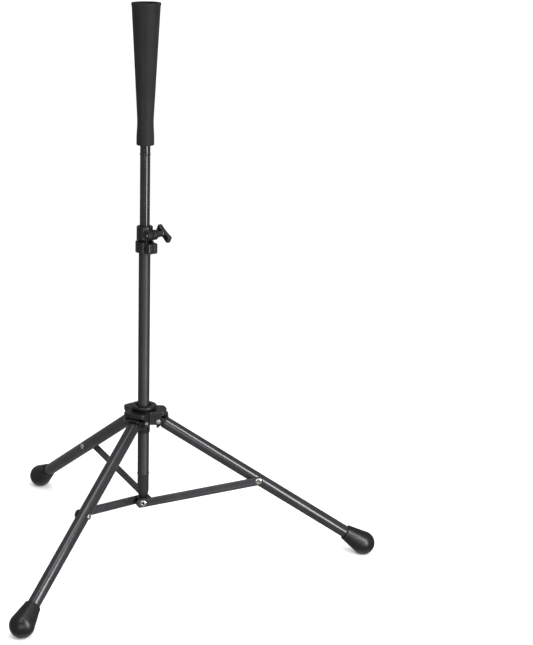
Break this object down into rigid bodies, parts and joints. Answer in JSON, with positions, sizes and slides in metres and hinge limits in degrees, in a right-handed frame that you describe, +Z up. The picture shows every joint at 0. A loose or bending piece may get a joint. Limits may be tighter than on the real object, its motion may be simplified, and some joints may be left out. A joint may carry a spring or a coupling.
{
  "type": "batting tee",
  "caption": "Folding tripod batting tee: a rubber cone holds a ball on a telescoping pole with a pinch collar; hinged legs and braces fold up along the column.",
  "frame": {"origin": "on the floor, at the middle of the tee's overall box in X and Y; the column axis is 107.25 mm towards -X from it", "axes": "+Z up along the column, +X along the right leg away from the column"},
  "size_m": [0.6886, 0.788, 1.0618],
  "materials": {
    "cone_rubber": "matte moulded rubber",
    "foot_rubber": "satin moulded rubber",
    "painted_tube": "gloss black powder coat on steel tube",
    "painted_strip": "gloss black powder coat on flat steel",
    "black_nylon": "satin moulded nylon",
    "knob_plastic": "gloss moulded plastic",
    "rivet_nickel": "bright nickel plate",
    "zinc_hardware": "zinc plate"
  },
  "bodies": {
    "column": {"column_tube": "painted_tube", "column_bottom_plug": "black_nylon", "height_collar": "black_nylon", "collar_screw": "zinc_hardware", "clamp_nut": "zinc_hardware", "clamp_washer": "zinc_hardware", "brace_column_rivet_right": "rivet_nickel", "brace_column_rivet_back": "rivet_nickel", "brace_column_rivet_front": "rivet_nickel"},
    "guide": {"pole_guide": "black_nylon"},
    "pole": {"upper_pole": "painted_tube", "pole_top_plug": "black_nylon", "tee_cone": "cone_rubber"},
    "knob": {"clamp_knob": "knob_plastic", "clamp_bolt": "zinc_hardware"},
    "hub": {"leg_hub": "black_nylon", "hub_bush": "black_nylon", "hinge_pin_right": "zinc_hardware", "hinge_pin_back": "zinc_hardware", "hinge_pin_front": "zinc_hardware", "pin_clip_right": "zinc_hardware", "pin_clip_back": "zinc_hardware", "pin_clip_front": "zinc_hardware"},
    "lock_screw": {"hub_lock_screw": "zinc_hardware"},
    "leg_right": {"leg_fitting_right": "black_nylon", "leg_tube_right": "painted_tube", "leg_rivet_right": "rivet_nickel", "leg_foot_right": "foot_rubber"},
    "brace_right": {"brace_right": "painted_strip", "brace_leg_rivet_right": "rivet_nickel"},
    "leg_back": {"leg_fitting_back": "black_nylon", "leg_tube_back": "painted_tube", "leg_rivet_back": "rivet_nickel", "leg_foot_back": "foot_rubber"},
    "brace_back": {"brace_back": "painted_strip", "brace_leg_rivet_back": "rivet_nickel"},
    "leg_front": {"leg_fitting_front": "black_nylon", "leg_tube_front": "painted_tube", "leg_rivet_front": "rivet_nickel", "leg_foot_front": "foot_rubber"},
    "brace_front": {"brace_front": "painted_strip", "brace_leg_rivet_front": "rivet_nickel"}
  },
  "joints": [
    {"name": "hub_slide", "type": "slide", "parent": "column", "child": "hub", "axis": [0, 0, 1], "range_m": [0, 0.28]},
    {"name": "pole_slide", "type": "slide", "parent": "column", "child": "guide", "axis": [0, 0, 1], "range_m": [-0.13, 0.16]},
    {"name": "pole_turn", "type": "hinge", "parent": "guide", "child": "pole", "pos_m": [-0.10725, 0, 0.7], "axis": [0, 0, 1], "continuous": true},
    {"name": "knob_turn", "type": "hinge", "parent": "column", "child": "knob", "pos_m": [-0.09523, -0.01782, 0.6368], "axis": [0.829, 0.5592, 0], "range_deg": [0, 360]},
    {"name": "lock_screw_turn", "type": "hinge", "parent": "hub", "child": "lock_screw", "pos_m": [-0.10725, -0.0135, 0.2585], "axis": [0, -1, 0], "range_deg": [0, 360]},
    {"name": "leg_hinge_right", "type": "hinge", "parent": "hub", "child": "leg_right", "pos_m": [-0.07925, 0, 0.276], "axis": [0, 1, 0], "range_deg": [0, 51.86]},
    {"name": "brace_hinge_right", "type": "hinge", "parent": "column", "child": "brace_right", "pos_m": [-0.10725, -0.01325, 0.108], "axis": [0, -1, 0], "range_deg": [0, 65.41]},
    {"name": "leg_hinge_back", "type": "hinge", "parent": "hub", "child": "leg_back", "pos_m": [-0.12125, 0.02425, 0.276], "axis": [-0.866, -0.5, 0], "range_deg": [0, 51.86]},
    {"name": "brace_hinge_back", "type": "hinge", "parent": "column", "child": "brace_back", "pos_m": [-0.09577, 0.00662, 0.108], "axis": [0.866, 0.5, 0], "range_deg": [0, 65.41]},
    {"name": "leg_hinge_front", "type": "hinge", "parent": "hub", "child": "leg_front", "pos_m": [-0.12125, -0.02425, 0.276], "axis": [0.866, -0.5, 0], "range_deg": [0, 51.86]},
    {"name": "brace_hinge_front", "type": "hinge", "parent": "column", "child": "brace_front", "pos_m": [-0.11872, 0.00662, 0.108], "axis": [-0.866, 0.5, 0], "range_deg": [0, 65.41]}
  ],
  "couplings": [
    {"joint": "leg_hinge_right", "follows": "hub_slide", "rad_per_m": 3.2325},
    {"joint": "brace_hinge_right", "follows": "hub_slide", "rad_per_m": 4.0772},
    {"joint": "leg_hinge_back", "follows": "hub_slide", "rad_per_m": 3.2325},
    {"joint": "brace_hinge_back", "follows": "hub_slide", "rad_per_m": 4.0772},
    {"joint": "leg_hinge_front", "follows": "hub_slide", "rad_per_m": 3.2325},
    {"joint": "brace_hinge_front", "follows": "hub_slide", "rad_per_m": 4.0772}
  ]
}
